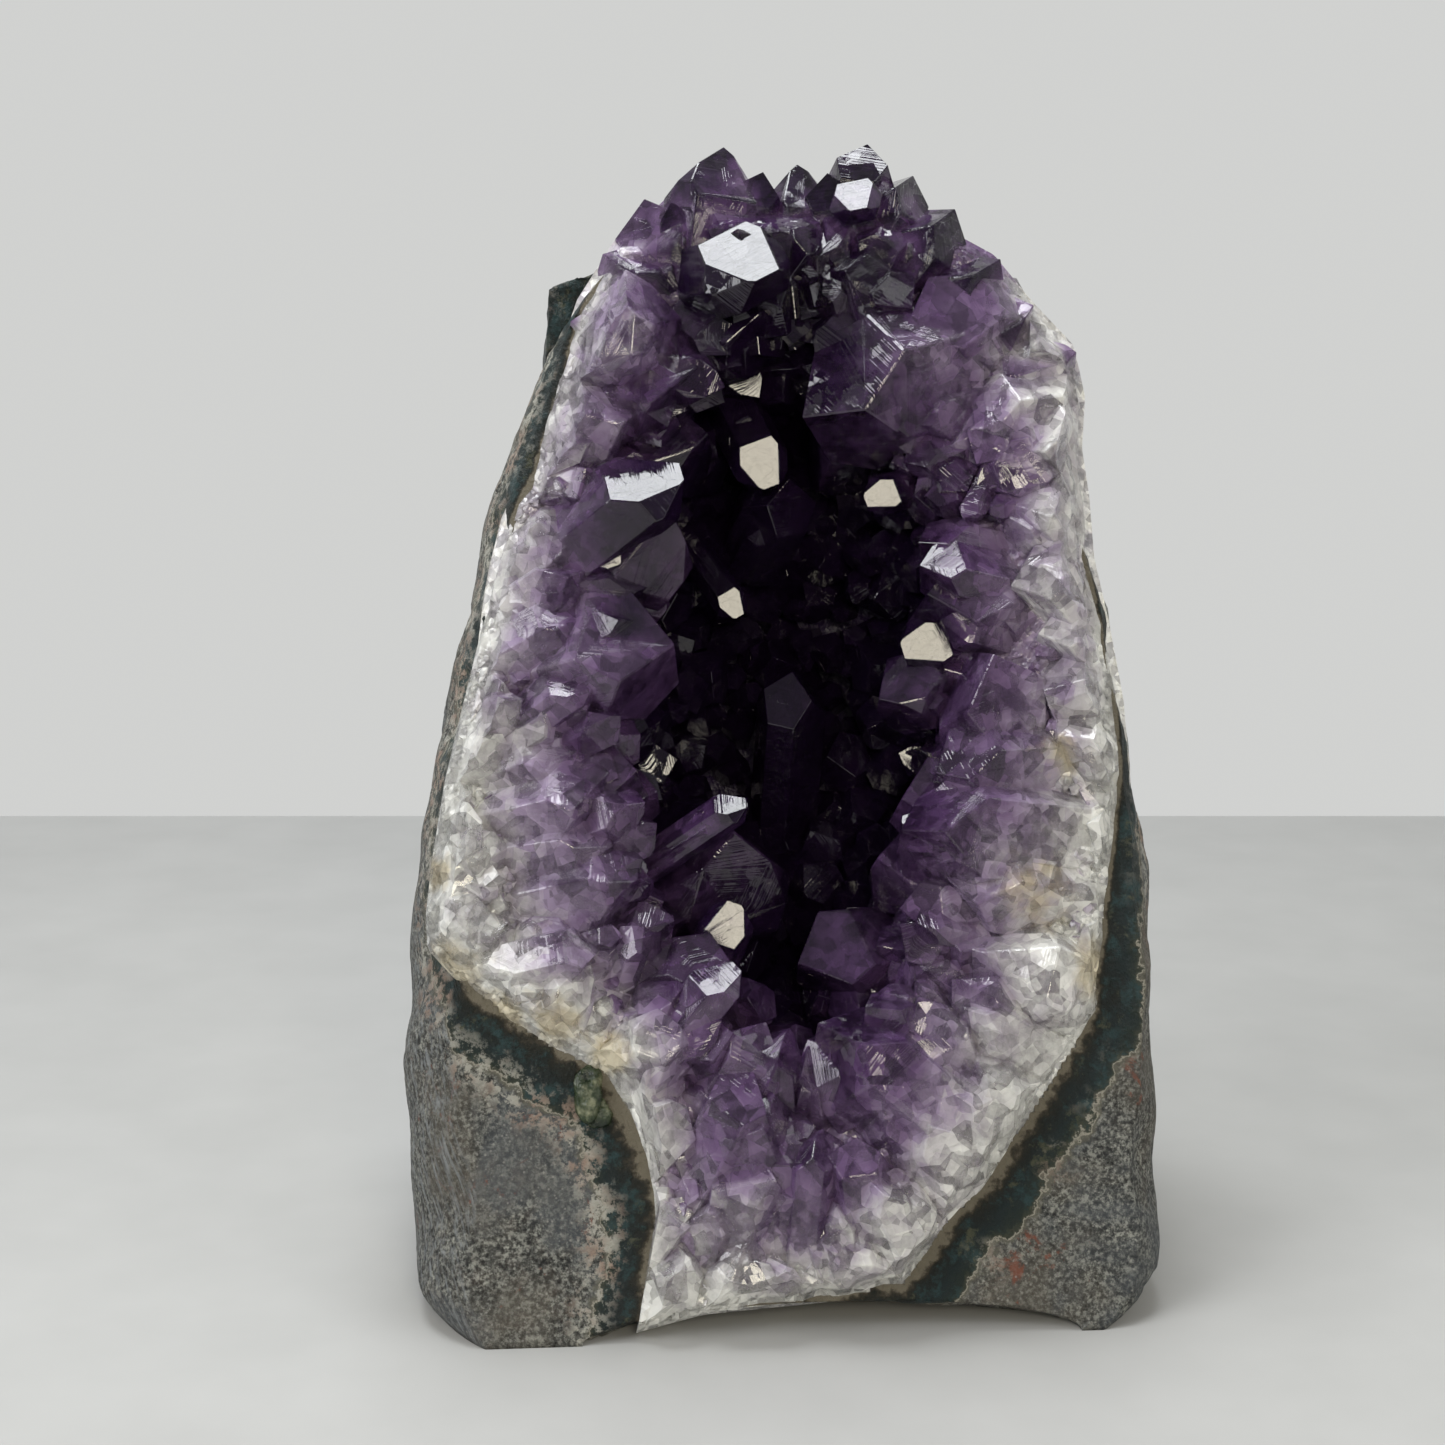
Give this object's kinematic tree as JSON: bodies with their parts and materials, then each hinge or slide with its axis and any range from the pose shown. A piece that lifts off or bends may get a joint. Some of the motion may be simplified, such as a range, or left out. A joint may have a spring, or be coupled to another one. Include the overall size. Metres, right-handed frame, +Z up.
{
  "type": "cut base amethyst cluster",
  "caption": "Sector of an amethyst geode sawn flat underneath to stand upright, with a crystal-lined hollow in its leaning cut face inside bands of milky quartz and grey basalt.",
  "frame": {"origin": "middle of the sawn base", "axes": "+Z up, square to the sawn base; -Y towards the cut face; +X to the right of someone looking at the cut face"},
  "size_m": [0.0784, 0.0608, 0.1167],
  "materials": {
    "basalt": "matt, sawn and ground in front, natural behind",
    "milky_quartz": "glassy, broken and sparkling",
    "amethyst": "glossy natural crystal faces"
  },
  "bodies": {
    "root": {"basalt_matrix": "basalt", "quartz_band": "milky_quartz", "amethyst_crust": "amethyst"}
  },
  "joints": []
}
